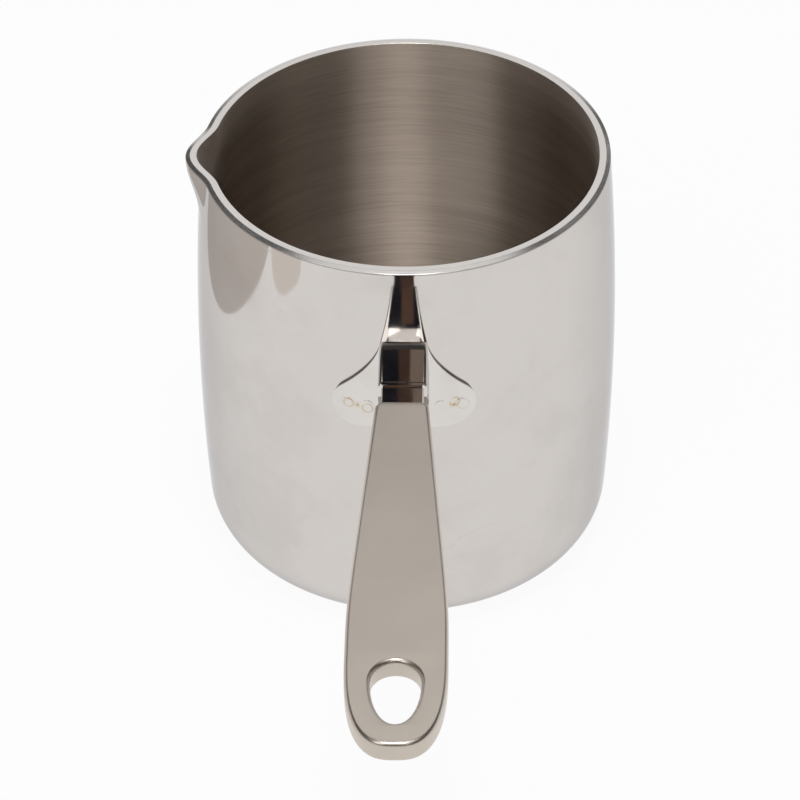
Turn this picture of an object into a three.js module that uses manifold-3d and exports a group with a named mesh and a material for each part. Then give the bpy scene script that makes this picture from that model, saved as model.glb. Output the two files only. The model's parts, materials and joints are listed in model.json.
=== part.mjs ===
// Butter warmer: a drawn steel pot with a pouring lip, and a flat bar handle held by
// a pressed bracket whose two ears are spot-welded to the wall.
// Millimetres, +Z up. The origin is the centre of the base, where the pot stands.
// The handle points along -Y and the pouring lip along -X.

import * as THREE from 'three';
import { mergeVertices } from 'three/addons/utils/BufferGeometryUtils.js';
import Module from 'manifold-3d';

const wasm = await Module();
wasm.setup();

// Pot
const POT_HEIGHT = 105.8;
const RIM_RADIUS = 47.5; // outer edge of the rim, below its chamfer
const FOOT_RADIUS = 48.5; // wall radius where the bottom corner starts
const WALL_BULGE = 1.7; // how far the wall stands out halfway up
const CORNER_RADIUS = 11.9;
const WALL_THICKNESS = 2.6;
const BASE_THICKNESS = 2.6;
const RIM_CHAMFER_WIDTH = 1.1;
const RIM_CHAMFER_DROP = 0.4;

// Pouring lip pressed into the rim
const LIP_BEARING = 182.2; // degrees round from +X
const LIP_REACH = 3.5;
const LIP_HALF_ANGLE = 15.1; // degrees
const LIP_DEPTH = 14.3;

// Bracket: a folded channel with an ear on each side
const BRACKET_BELOW_RIM = 17.5; // from the rim down to where the channel's top meets the wall
const SHEET = 0.8;
const NECK_WIDTH = 11;
const NECK_LENGTH = 18.6;
const NECK_RISE = 8; // degrees that the channel's top climbs away from the wall
const EAR_HEIGHT = 24.1;
const EAR_REACH = 10.9; // beyond the side of the neck
const EAR_LOBE_RADIUS = 6;

// Handle bar
const BAR_THICKNESS = 4.5;
const BAR_LENGTH = 122.6;
const BAR_RISE = 6; // degrees that the bar climbs away from the pot
const BAR_STEP = 0.65; // the bar's top over the line of the neck
const BAR_NECK_WIDTH = 11.9;
const BAR_TAPER = 3.5; // degrees that each side spreads
const BAR_END_WIDTH = 20.8;
const BAR_END_ROUND = 30.2; // from the widest place to the tip
const BAR_END_BLUNT = 2.8; // power of the end's oval; 2 is an ellipse
const BAR_NOSE_RADIUS = 2.4;
const BAR_EDGE = 1; // rounding of the long edges and the hole
const TANG_SHOWS = 8.8; // tang between the bracket's mouth and the bar
const TANG_BITE = 4; // how far the tang runs on inside the bar
const TANG_LIFT = 0.4; // the tang's underside over the bar's
const HOLE_WIDTH = 10.1;
const HOLE_LENGTH = 20.3;
const HOLE_BROAD_END = 6.5; // length of its broad end, which is the one nearer the pot
const HOLE_TO_TIP = 6.9; // metal between the hole and the bar's tip

// Welds
const SPOT_DIAMETER = 2.6;
const SPOT_PITCH = 4.6;
const SPOT_PROUD = 0.08;
const BEAD_LENGTH = 1.3;

// Clearances
const SEAT_GAP = 0.3; // ear to wall
const FIT_GAP = 0.3; // tang in the channel, bead on tang and channel
const SPOT_GAP = 0.15;

// Facets
const LIP_FACETS = 14;
const WALL_FACETS = 52;
const LIP_ROWS = 6;
const WALL_ROWS = 6;
const CORNER_ROWS = 5;
const SHELL_FACETS = 90;
const CURVE_STEPS = 10;

const radians = THREE.MathUtils.degToRad;
const point = (x, y) => new THREE.Vector2(x, y);

// Evenly spaced values, both ends included.
function spread(from, to, steps) {
  return Array.from({ length: steps + 1 }, (_, step) => from + (to - from) * (step / steps));
}

// Wall profile

const chamferZ = POT_HEIGHT - RIM_CHAMFER_DROP;
const footLean = Math.atan((4 * WALL_BULGE + RIM_RADIUS - FOOT_RADIUS) / (chamferZ - CORNER_RADIUS));
const cornerZ = CORNER_RADIUS * (1 - Math.sin(footLean)); // where the wall runs into the corner

function wallRadius(z) {
  const share = (chamferZ - z) / (chamferZ - cornerZ);
  return RIM_RADIUS + (FOOT_RADIUS - RIM_RADIUS) * share + 4 * WALL_BULGE * share * (1 - share);
}

function cornerArc(footRadius, floorZ, radius) {
  const centre = point(footRadius - radius * Math.cos(footLean), floorZ + radius);
  return spread(-Math.PI / 2, -footLean, CORNER_ROWS).map((angle) =>
    point(centre.x + radius * Math.cos(angle), centre.y + radius * Math.sin(angle)),
  );
}

// Rows of the wall from above the corner to just below the rim, closer together at the lip.
function wallHeights(lowest, highest) {
  const lipZ = POT_HEIGHT - LIP_DEPTH;
  return [...spread(lowest, lipZ, WALL_ROWS).slice(1), ...spread(lipZ, highest, LIP_ROWS).slice(1)];
}

// How far the lip pushes the wall out, at a height and a bearing.
function lipPush(z, bearing) {
  const drop = Math.min(Math.max((POT_HEIGHT - z) / LIP_DEPTH, 0), 1);
  const turn = Math.min(Math.abs(bearing - radians(LIP_BEARING)) / radians(LIP_HALF_ANGLE), 1);
  const swell = (share) => 0.5 * (1 + Math.cos(Math.PI * share));
  return LIP_REACH * swell(drop) * swell(turn);
}

// Bearings round the pot, starting at one side of the lip.
function potBearings() {
  const start = radians(LIP_BEARING - LIP_HALF_ANGLE);
  const end = radians(LIP_BEARING + LIP_HALF_ANGLE);
  const lip = spread(start, end, LIP_FACETS).slice(0, -1);
  const rest = spread(end, start + 2 * Math.PI, WALL_FACETS).slice(0, -1);
  return [...lip, ...rest];
}

function evenBearings() {
  return spread(0, 2 * Math.PI, SHELL_FACETS).slice(0, -1);
}

// Turns a profile round the Z axis. The profile runs up the outside and back down the inside.
// An open profile is capped by a point on the axis at each end; a closed one is a ring.
function revolve(profile, bearings, isRing, push = () => 0) {
  const around = bearings.length;
  const vertices = [];
  const triangles = [];
  for (const station of profile) {
    for (const bearing of bearings) {
      const radius = station.x + push(station.y, bearing);
      vertices.push(radius * Math.cos(bearing), radius * Math.sin(bearing), station.y);
    }
  }
  const rowCount = isRing ? profile.length : profile.length - 1;
  for (let row = 0; row < rowCount; row += 1) {
    const low = row * around;
    const high = ((row + 1) % profile.length) * around;
    for (let step = 0; step < around; step += 1) {
      const next = (step + 1) % around;
      triangles.push(low + step, low + next, high + next, low + step, high + next, high + step);
    }
  }
  if (!isRing) {
    const first = vertices.length / 3;
    const topRow = (profile.length - 1) * around;
    vertices.push(0, 0, profile[0].y, 0, 0, profile[profile.length - 1].y);
    for (let step = 0; step < around; step += 1) {
      const next = (step + 1) % around;
      triangles.push(first, next, step, first + 1, topRow + step, topRow + next);
    }
  }
  const geometry = new THREE.BufferGeometry();
  geometry.setAttribute('position', new THREE.Float32BufferAttribute(vertices, 3));
  geometry.setIndex(triangles);
  return geometry;
}

// Solids for joining and cutting

function toSolid(geometry) {
  const bare = geometry.clone();
  bare.deleteAttribute('normal');
  bare.deleteAttribute('uv');
  const merged = mergeVertices(bare, 1e-4);
  return new wasm.Manifold(
    new wasm.Mesh({
      numProp: 3,
      vertProperties: new Float32Array(merged.attributes.position.array),
      triVerts: new Uint32Array(merged.index.array),
    }),
  );
}

function toGeometry(solid) {
  const mesh = solid.getMesh();
  const geometry = new THREE.BufferGeometry();
  geometry.setAttribute('position', new THREE.Float32BufferAttribute(mesh.vertProperties, 3));
  geometry.setIndex(new THREE.Uint32BufferAttribute(mesh.triVerts, 1));
  return geometry;
}

// A side outline, in distance from the pot's axis and height, made as wide as the width along X.
function sideSlab(outline, width) {
  const shape = new THREE.Shape(outline.map(([reach, z]) => point(-reach, z)));
  const geometry = new THREE.ExtrudeGeometry(shape, { depth: width, bevelEnabled: false });
  geometry.translate(0, 0, -width / 2);
  geometry.applyMatrix4(
    new THREE.Matrix4().makeBasis(
      new THREE.Vector3(0, 1, 0),
      new THREE.Vector3(0, 0, 1),
      new THREE.Vector3(1, 0, 0),
    ),
  );
  return toSolid(geometry);
}

// Lines of the handle, as heights at a distance from the pot's axis

const bracketTop = POT_HEIGHT - BRACKET_BELOW_RIM;
const neckRoot = wallRadius(bracketTop) + SEAT_GAP;
const mouthReach = neckRoot + NECK_LENGTH;
const barReach = mouthReach + TANG_SHOWS;
const neckClimb = Math.tan(radians(NECK_RISE));
const barClimb = Math.tan(radians(BAR_RISE));
const neckHalf = NECK_WIDTH / 2;
const bracketBottom = bracketTop - EAR_HEIGHT;

const neckLine = (reach) => bracketTop + (reach - neckRoot) * neckClimb;
const neckZ = (reach, depth = 0) => neckLine(reach) - depth / Math.cos(radians(NECK_RISE));
const barTopZ = (reach) => neckZ(barReach) + BAR_STEP + (reach - barReach) * barClimb;
const barDepth = 1 / Math.cos(radians(BAR_RISE)); // upright distance through a unit of the bar
const tangUnderZ = (reach) => barTopZ(reach) - (BAR_THICKNESS - TANG_LIFT) * barDepth;

// Pot body

function potGeometry() {
  const innerCorner = Math.max(CORNER_RADIUS - WALL_THICKNESS, FIT_GAP);
  const innerCornerZ = BASE_THICKNESS + innerCorner * (1 - Math.sin(footLean));
  const outside = cornerArc(FOOT_RADIUS, 0, CORNER_RADIUS);
  for (const z of wallHeights(cornerZ, chamferZ)) {
    outside.push(point(wallRadius(z), z));
  }
  const innerFoot = wallRadius(innerCornerZ) - WALL_THICKNESS;
  const inside = cornerArc(innerFoot, BASE_THICKNESS, innerCorner);
  for (const z of wallHeights(innerCornerZ, POT_HEIGHT)) {
    inside.push(point(wallRadius(z) - WALL_THICKNESS, z));
  }
  const rimEdge = point(RIM_RADIUS - RIM_CHAMFER_WIDTH, POT_HEIGHT);
  return revolve([...outside, rimEdge, ...inside.reverse()], potBearings(), false, lipPush);
}

// Bracket

function earOutline() {
  const lobeX = neckHalf + EAR_REACH - EAR_LOBE_RADIUS;
  const lobeZ = bracketBottom + EAR_LOBE_RADIUS;
  const meet = radians(50); // bearing on the lobe where the ear's upper edge runs into it
  const meetX = lobeX + EAR_LOBE_RADIUS * Math.cos(meet);
  const meetZ = lobeZ + EAR_LOBE_RADIUS * Math.sin(meet);
  const lead = 0.9 * EAR_LOBE_RADIUS;
  const shape = new THREE.Shape();
  shape.moveTo(neckHalf, bracketTop);
  shape.bezierCurveTo(
    neckHalf + SHEET / 2,
    bracketTop - lead,
    meetX - lead * Math.sin(meet),
    meetZ + lead * Math.cos(meet),
    meetX,
    meetZ,
  );
  shape.absarc(lobeX, lobeZ, EAR_LOBE_RADIUS, meet, -Math.PI / 2, true);
  shape.lineTo(neckHalf, bracketBottom);
  shape.lineTo(-neckHalf, bracketBottom);
  shape.absarc(-lobeX, lobeZ, EAR_LOBE_RADIUS, -Math.PI / 2, -Math.PI - meet, true);
  shape.bezierCurveTo(
    -meetX + lead * Math.sin(meet),
    meetZ + lead * Math.cos(meet),
    -neckHalf - SHEET / 2,
    bracketTop - lead,
    -neckHalf,
    bracketTop,
  );
  return shape;
}

// The pot's outside, grown by a gap, over the height of the bracket.
function wallStations(gap) {
  const lowest = bracketBottom - neckHalf;
  const highest = bracketTop + neckHalf;
  return spread(lowest, highest, WALL_ROWS).map((z) => point(wallRadius(z) + gap, z));
}

function earPlates() {
  const shell = [...wallStations(SEAT_GAP + SHEET), ...wallStations(SEAT_GAP).reverse()];
  const front = new THREE.ExtrudeGeometry(earOutline(), {
    depth: 2 * RIM_RADIUS,
    bevelEnabled: false,
    curveSegments: CURVE_STEPS,
  });
  front.applyMatrix4(
    new THREE.Matrix4().makeBasis(
      new THREE.Vector3(1, 0, 0),
      new THREE.Vector3(0, 0, 1),
      new THREE.Vector3(0, -1, 0),
    ),
  );
  return toSolid(revolve(shell, evenBearings(), true)).intersect(toSolid(front));
}

// Outline of the folded channel, seen from the side.
function channelOutline(depth, startReach, endReach, bottomAtWall, bottomAtMouth) {
  return [
    [startReach, neckZ(startReach, depth)],
    [startReach, bottomAtWall],
    [endReach, bottomAtMouth],
    [endReach, neckZ(endReach, depth)],
  ];
}

function spotPlaces() {
  const lobeX = neckHalf + EAR_REACH - EAR_LOBE_RADIUS;
  const z = bracketBottom + EAR_LOBE_RADIUS;
  const inner = lobeX - SPOT_PITCH / 2;
  const outer = lobeX + SPOT_PITCH / 2;
  return [
    { name: 'spot_weld_left_outer', x: -outer, z },
    { name: 'spot_weld_left_inner', x: -inner, z },
    { name: 'spot_weld_right_inner', x: inner, z },
    { name: 'spot_weld_right_outer', x: outer, z },
  ];
}

// A round plug set square to the wall, from one gap off the wall to another.
function wallPlug(diameter, innerGap, outerGap) {
  const plug = new THREE.CylinderGeometry(diameter / 2, diameter / 2, outerGap - innerGap, 2 * CURVE_STEPS);
  plug.translate(0, -(innerGap + outerGap) / 2, 0);
  return plug;
}

function placeOnWall(object, { x, z }) {
  const radius = wallRadius(z);
  const bearing = Math.asin(x / radius);
  object.position.set(x, -radius * Math.cos(bearing), z);
  object.rotation.z = bearing;
  return object;
}

function bracketGeometry() {
  const behindWall = neckRoot - neckHalf;
  const outer = channelOutline(0, behindWall, mouthReach, bracketBottom, tangUnderZ(mouthReach));
  const inner = channelOutline(SHEET, 0, mouthReach + SHEET, 0, 0);
  let solid = sideSlab(outer, NECK_WIDTH).add(earPlates());
  solid = solid.subtract(sideSlab(inner, NECK_WIDTH - 2 * SHEET));
  solid = solid.subtract(toSolid(revolve(wallStations(SEAT_GAP), evenBearings(), false)));
  for (const place of spotPlaces()) {
    const drill = wallPlug(SPOT_DIAMETER + 2 * SPOT_GAP, 0, 2 * (SEAT_GAP + SHEET));
    const holder = placeOnWall(new THREE.Object3D(), place);
    holder.updateMatrix();
    solid = solid.subtract(toSolid(drill.applyMatrix4(holder.matrix)));
  }
  return toGeometry(solid);
}

// Handle bar

// Blunt oval end of the bar, from its right side round to its left.
function endPoints(centre) {
  const power = 2 / BAR_END_BLUNT;
  return spread(0, Math.PI, 2 * CURVE_STEPS).map((turn) => {
    const across = Math.sign(Math.cos(turn)) * Math.abs(Math.cos(turn)) ** power;
    return point((BAR_END_WIDTH / 2) * across, centre + BAR_END_ROUND * Math.sin(turn) ** power);
  });
}

function barGeometry() {
  const noseHalf = BAR_NECK_WIDTH / 2;
  const endHalf = BAR_END_WIDTH / 2;
  const endStart = BAR_LENGTH - BAR_END_ROUND;
  const straight = (7 / 8) * endStart; // handle of each side's curve along its taper
  const taperHalf = noseHalf + (straight - BAR_NOSE_RADIUS) * Math.tan(radians(BAR_TAPER));
  const settle = (4 / 5) * endStart;
  const shape = new THREE.Shape();
  shape.moveTo(-noseHalf + BAR_NOSE_RADIUS, 0);
  shape.lineTo(noseHalf - BAR_NOSE_RADIUS, 0);
  shape.absarc(noseHalf - BAR_NOSE_RADIUS, BAR_NOSE_RADIUS, BAR_NOSE_RADIUS, -Math.PI / 2, 0, false);
  shape.bezierCurveTo(taperHalf, straight, endHalf, settle, endHalf, endStart);
  for (const { x, y } of endPoints(endStart).slice(1)) {
    shape.lineTo(x, y);
  }
  shape.bezierCurveTo(-endHalf, settle, -taperHalf, straight, -noseHalf, BAR_NOSE_RADIUS);
  shape.absarc(-noseHalf + BAR_NOSE_RADIUS, BAR_NOSE_RADIUS, BAR_NOSE_RADIUS, Math.PI, 1.5 * Math.PI, false);
  const narrowEnd = HOLE_LENGTH - HOLE_BROAD_END;
  const widest = BAR_LENGTH - HOLE_TO_TIP - narrowEnd;
  const hole = new THREE.Path();
  hole.absellipse(0, widest, HOLE_WIDTH / 2, narrowEnd, 0, Math.PI, false);
  hole.absellipse(0, widest, HOLE_WIDTH / 2, HOLE_BROAD_END, Math.PI, 2 * Math.PI, false);
  shape.holes.push(hole);
  const slab = new THREE.ExtrudeGeometry(shape, {
    depth: BAR_THICKNESS - 2 * BAR_EDGE,
    bevelThickness: BAR_EDGE,
    bevelSize: BAR_EDGE,
    bevelOffset: -BAR_EDGE,
    bevelSegments: 2,
    curveSegments: CURVE_STEPS,
  });
  slab.translate(0, 0, BAR_EDGE - BAR_THICKNESS);
  const rise = radians(BAR_RISE);
  slab.applyMatrix4(
    new THREE.Matrix4()
      .makeBasis(
        new THREE.Vector3(-1, 0, 0),
        new THREE.Vector3(0, -Math.cos(rise), Math.sin(rise)),
        new THREE.Vector3(0, Math.sin(rise), Math.cos(rise)),
      )
      .setPosition(0, -barReach, barTopZ(barReach)),
  );
  return toGeometry(toSolid(slab).add(tangSolid(0)));
}

// The bar's tang, which fills the channel and runs on into the bar.
function tangSolid(grow) {
  const start = neckRoot + SHEET;
  const end = barReach + TANG_BITE;
  const depth = SHEET + FIT_GAP - grow;
  const outline = [
    [start, neckZ(start, depth)],
    [start, tangUnderZ(start) - grow],
    [end, tangUnderZ(end) - grow],
    [end, neckZ(barReach, depth) + TANG_BITE * barClimb],
    [barReach, neckZ(barReach, depth)],
  ];
  return sideSlab(outline, NECK_WIDTH - 2 * depth);
}

// Weld bead round the bracket's mouth, over the tang.
function beadGeometry() {
  const start = mouthReach + FIT_GAP;
  const end = start + BEAD_LENGTH;
  const outline = channelOutline(0, start, end, tangUnderZ(start), tangUnderZ(end));
  return toGeometry(sideSlab(outline, NECK_WIDTH).subtract(tangSolid(FIT_GAP)));
}

// Finishes

const polishedSteel = new THREE.MeshStandardMaterial({ color: 0xcac6c1, roughness: 0.12, metalness: 1 });
const pressedSteel = new THREE.MeshStandardMaterial({ color: 0xcfcbc6, roughness: 0.1, metalness: 1 });
const satinSteel = new THREE.MeshStandardMaterial({ color: 0xb3aba2, roughness: 0.45, metalness: 1 });
const tintedSteel = new THREE.MeshStandardMaterial({ color: 0xb49a6e, roughness: 0.35, metalness: 1 });

function piece(name, geometry, material) {
  const mesh = new THREE.Mesh(geometry, material);
  mesh.name = name;
  return mesh;
}

const butterWarmer = new THREE.Group();
butterWarmer.add(piece('pot_body', potGeometry(), polishedSteel));

const handle = new THREE.Group();
handle.add(piece('handle_bracket', bracketGeometry(), pressedSteel));
handle.add(piece('handle_bar', barGeometry(), satinSteel));
handle.add(piece('neck_weld', beadGeometry(), pressedSteel));
for (const place of spotPlaces()) {
  const plug = wallPlug(SPOT_DIAMETER, SPOT_GAP, SEAT_GAP + SHEET + SPOT_PROUD);
  handle.add(placeOnWall(piece(place.name, plug, tintedSteel), place));
}
butterWarmer.add(handle);

export default butterWarmer;
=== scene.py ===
import json
import math

import bmesh
import bpy
from mathutils import Matrix, Vector

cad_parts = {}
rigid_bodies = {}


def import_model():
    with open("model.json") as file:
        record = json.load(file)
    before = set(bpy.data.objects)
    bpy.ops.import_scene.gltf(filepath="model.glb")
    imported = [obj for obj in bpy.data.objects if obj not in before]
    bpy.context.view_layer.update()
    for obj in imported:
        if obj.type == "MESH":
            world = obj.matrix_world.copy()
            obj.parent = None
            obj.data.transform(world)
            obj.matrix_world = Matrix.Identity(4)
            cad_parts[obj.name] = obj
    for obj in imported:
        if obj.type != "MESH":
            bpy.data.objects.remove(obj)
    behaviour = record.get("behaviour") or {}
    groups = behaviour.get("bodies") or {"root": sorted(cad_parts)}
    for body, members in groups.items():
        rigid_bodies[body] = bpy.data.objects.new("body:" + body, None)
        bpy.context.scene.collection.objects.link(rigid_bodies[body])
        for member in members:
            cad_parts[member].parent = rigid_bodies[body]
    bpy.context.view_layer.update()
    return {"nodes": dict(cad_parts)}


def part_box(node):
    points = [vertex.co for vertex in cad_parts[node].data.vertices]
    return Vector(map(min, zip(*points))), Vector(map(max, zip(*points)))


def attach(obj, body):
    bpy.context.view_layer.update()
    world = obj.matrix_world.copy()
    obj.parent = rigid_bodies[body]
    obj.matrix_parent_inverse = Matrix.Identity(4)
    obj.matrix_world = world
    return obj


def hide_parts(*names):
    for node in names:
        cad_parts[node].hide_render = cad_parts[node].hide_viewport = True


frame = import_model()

mm = 0.001
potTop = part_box("pot_body")[1].z
scene = bpy.context.scene
scene.view_settings.view_transform = "Standard"
print("frame loaded:", len(frame["nodes"]), "nodes")


# A socket that takes part in Python arithmetic
class Wire:
    def __init__(self, socket):
        self.socket = socket
        self.board = Board(socket.id_data)

    def out(self, name):  # another output of the same node
        return Wire(self.socket.node.outputs[name])

    def calc(self, operation, *values):
        sockets = dict(enumerate(values))
        return self.board.node("ShaderNodeMath", {"operation": operation}, sockets)

    def __add__(self, other):
        return self.calc("ADD", self, other)

    def __radd__(self, other):
        return self.calc("ADD", other, self)

    def __sub__(self, other):
        return self.calc("SUBTRACT", self, other)

    def __rsub__(self, other):
        return self.calc("SUBTRACT", other, self)

    def __mul__(self, other):
        return self.calc("MULTIPLY", self, other)

    def __rmul__(self, other):
        return self.calc("MULTIPLY", other, self)

    def __truediv__(self, other):
        return self.calc("DIVIDE", self, other)

    def __rtruediv__(self, other):
        return self.calc("DIVIDE", other, self)

    def __neg__(self):
        return self.calc("MULTIPLY", self, -1.0)

    def sin(self):
        return self.calc("SINE", self)

    def cos(self):
        return self.calc("COSINE", self)

    def root(self):
        return self.calc("SQRT", self)

    def size(self):
        return self.calc("ABSOLUTE", self)

    def least(self, other):
        return self.calc("MINIMUM", self, other)

    def most(self, other):
        return self.calc("MAXIMUM", self, other)

    def between(self, low, high):  # 0 at low, 1 at high, eased
        settings = {"interpolation_type": "SMOOTHSTEP"}
        sockets = {"Value": self, "From Min": low, "From Max": high}
        return self.board.node("ShaderNodeMapRange", settings, sockets)


# A node tree that hands out wires
class Board:
    def __init__(self, tree):
        self.tree = tree

    def node(self, kind, settings=None, sockets=None):
        made = self.tree.nodes.new(kind)
        for name, value in (settings or {}).items():
            setattr(made, name, value)
        for name, value in (sockets or {}).items():
            for one in value if isinstance(value, list) else [value]:
                if isinstance(one, Wire):
                    self.tree.links.new(one.socket, made.inputs[name])
                else:
                    made.inputs[name].default_value = one
        shown = [socket for socket in made.outputs if socket.enabled]
        return Wire(shown[0]) if shown else made

    def mix(self, share, low, high):  # two colours
        sockets = {0: share, 6: low, 7: high}
        return self.node("ShaderNodeMix", {"data_type": "RGBA"}, sockets)

    def vector(self, x=0.0, y=0.0, z=0.0):
        return self.node("ShaderNodeCombineXYZ", None, {"X": x, "Y": y, "Z": z})

    def noise(self, place, scale, detail=2.0, rough=0.5):
        sockets = {"Vector": place, "Scale": scale, "Detail": detail, "Roughness": rough}
        return self.node("ShaderNodeTexNoise", None, sockets)

    def streaks(self, coords, times, detail=2.0, rough=0.5):  # noise packed along coordinates
        packed = [coord * count for coord, count in zip(coords, times)]
        return self.noise(self.vector(*packed), 1.0, detail, rough)

    def bump(self, strength, distance, height):
        sockets = {"Strength": strength, "Distance": distance, "Height": height}
        return self.node("ShaderNodeBump", None, sockets)

    def axes(self, place):
        parts = self.node("ShaderNodeSeparateXYZ", None, {"Vector": place})
        return parts.out("X"), parts.out("Y"), parts.out("Z")


def rgb(red, green, blue):
    return (red, green, blue, 1.0)


# Finishes

def newFinish(name):
    finish = bpy.data.materials.new(name)
    finish.use_nodes = True
    finish.node_tree.nodes.clear()
    board = Board(finish.node_tree)
    place = board.node("ShaderNodeTexCoord").out("Object")
    return finish, board, place


def closeSteel(board, sockets):
    surface = board.node("ShaderNodeBsdfPrincipled", None, {"Metallic": 1.0, **sockets})
    board.node("ShaderNodeOutputMaterial", None, {"Surface": surface})


steelTone = {
    "polished": rgb(0.64, 0.607, 0.58),
    "hazed": rgb(0.6, 0.567, 0.54),
    "grazing": rgb(0.72, 0.72, 0.73),
    # dark tone of scratches and dings, also used for painted shade: the line under the rim and the sheet's
    # cut edges
    "marksAndShade": rgb(0.36, 0.32, 0.29),
    "turned": rgb(0.72, 0.7, 0.68),
    # painted shade for the bracket's cut edges
    "cutEdgeShadeHaze": rgb(0.22, 0.19, 0.17),
    "pressed": rgb(0.685, 0.656, 0.63),
    "pressedHaze": rgb(0.648, 0.618, 0.59),
    "brushed": rgb(0.66, 0.57, 0.49),
    "brushedLow": rgb(0.5, 0.42, 0.35),
    "satin": rgb(0.575, 0.515, 0.45),
    "satinLow": rgb(0.545, 0.49, 0.43),
    "straw": rgb(0.52, 0.38, 0.17),
    "umber": rgb(0.22, 0.13, 0.05),
}


def roundCoords(board, place):  # bearing, radius and height about the pot's axis
    x, y, z = board.axes(place)
    return x.calc("ARCTAN2", y, x), (x * x + y * y).root(), z


mirrorLook = {  # noises as scale, detail and roughness, streaks as times along bearing, radius and height
    "haze": (42.0, 4.0, 0.6),
    "hazeRange": (0.42, 0.72),
    "polish": (0.6, 0.0, 2600.0),
    "polishShare": 0.05,
    "ripple": (60.0, 1.0),
    "rippleStrength": 0.05,
    "rippleDepth": 0.2 * mm,
    "hair": (9.0, 40.0, 900.0),
    "hairRange": (0.66, 0.72),
    "stray": (1.6, 4.0, 9.0),
    "straySlant": 18.75,  # radians of bearing to a metre of height
    "strayLines": 14.0,
    "strayWidth": 0.03,
    "strayPatch": (31.0, 1.0),
    "strayRange": (0.5, 0.62),
    "pitScale": 75.0,
    "pitRange": (0.012, 0.03),
    "pitsLeftOut": 0.9,
    "paintedShadeLine": (0.82 * mm, 0.7 * mm),  # painted shade: a dark line, from and to so far under the rim's top
    "markAndShadeShare": {"scratch": 0.07, "ding": 0.8, "paintedShadeLine": 0.75},
    "rough": {"plain": 0.05, "haze": 0.035, "hair": 0.12, "scratch": 0.03},
}


def mirrorSteel():  # outside of the pot: mirror polish with haze, hairlines and a few marks, plus a painted shade line under the rim
    look, markAndShadeShare, rough = mirrorLook, mirrorLook["markAndShadeShare"], mirrorLook["rough"]
    finish, board, place = newFinish("mirrorSteel")
    coords = roundCoords(board, place)
    bearing, radius, z = coords
    haze = board.noise(place, *look["haze"]).between(*look["hazeRange"])
    hairline = board.streaks(coords, look["hair"], 3.0, 0.6).between(*look["hairRange"])
    height = board.noise(place, *look["ripple"]) + board.streaks(coords, look["polish"]) * look["polishShare"]

    slanted = (bearing + z * look["straySlant"], radius, z)
    stray = board.streaks(slanted, look["stray"], 0.0) * look["strayLines"]
    line = 1 - stray.calc("PINGPONG", stray, 1.0).between(0.0, look["strayWidth"])
    scratch = line * board.noise(place, *look["strayPatch"]).between(*look["strayRange"])

    pits = board.node("ShaderNodeTexVoronoi", None, {"Vector": place, "Scale": look["pitScale"]})
    pick = board.node("ShaderNodeSeparateColor", None, {"Color": pits.out("Color")})
    ding = (1 - pits.between(*look["pitRange"])) * pick.calc("GREATER_THAN", pick, look["pitsLeftOut"])

    # painted shade: a dark band just under the rim's top, mixed in with the scratches and dings
    paintedShadeLine = z.between(*[potTop - under for under in look["paintedShadeLine"]])
    marksAndShade = scratch * markAndShadeShare["scratch"] + ding * markAndShadeShare["ding"] + paintedShadeLine * markAndShadeShare["paintedShadeLine"]
    clean = board.mix(haze, steelTone["polished"], steelTone["hazed"])
    matt = rough["plain"] + haze * rough["haze"] + hairline * rough["hair"] + scratch * rough["scratch"]
    closeSteel(board, {
        "Base Color": board.mix(marksAndShade.least(1.0), clean, steelTone["marksAndShade"]),
        "Roughness": matt,
        "Specular Tint": steelTone["grazing"],
        "Normal": board.bump(look["rippleStrength"], look["rippleDepth"], height)})
    return finish


rimLook = {
    "lines": (3.0, 9000.0, 9000.0),
    "lineStrength": 0.12,
    "lineDepth": 0.05 * mm,
    "rough": {"plain": 0.13, "lines": 0.1},
}


def rimSteel():  # the turned edge: bright, with fine lathe lines round it
    look, rough = rimLook, rimLook["rough"]
    finish, board, place = newFinish("rimSteel")
    lines = board.streaks(roundCoords(board, place), look["lines"])
    closeSteel(board, {
        "Base Color": board.mix(lines, steelTone["polished"], steelTone["turned"]),
        "Roughness": rough["plain"] + lines * rough["lines"],
        "Normal": board.bump(look["lineStrength"], look["lineDepth"], lines)})
    return finish


brushedLook = {
    "fine": (2.5, 3000.0, 3600.0),
    "fineShare": 0.6,
    "broad": (1.2, 500.0, 420.0),
    "broadShare": 0.4,
    "strokeRange": (0.3, 0.7),
    "strokeStrength": 0.35,
    "strokeDepth": 0.05 * mm,
    "sheenTurn": 0.25,  # of the sheen, across the strokes
    "rough": {"plain": 0.46, "broad": 0.1},
}


def brushedSteel():  # inside of the pot: brushed round and round
    look, rough = brushedLook, brushedLook["rough"]
    finish, board, place = newFinish("brushedSteel")
    coords = roundCoords(board, place)
    fine = board.streaks(coords, look["fine"], 3.0, 0.7)
    broad = board.streaks(coords, look["broad"], 3.0, 0.6)
    stroke = fine * look["fineShare"] + broad * look["broadShare"]
    share = stroke.between(*look["strokeRange"])
    closeSteel(board, {
        "Base Color": board.mix(share, steelTone["brushedLow"], steelTone["brushed"]),
        "Roughness": rough["plain"] + broad * rough["broad"],
        "Anisotropic": 1.0,
        "Anisotropic Rotation": look["sheenTurn"],
        "Normal": board.bump(look["strokeStrength"], look["strokeDepth"], stroke)})
    return finish


satinLook = {
    "fine": (4200.0, 60.0, 4200.0),  # times along X, Y and Z
    "fineStrength": 0.25,
    "fineDepth": 0.04 * mm,
    "smudge": (38.0, 3.0, 0.55),
    "smudgeRange": (0.35, 0.7),
    "rough": {"plain": 0.26, "fine": 0.1},
}


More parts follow.
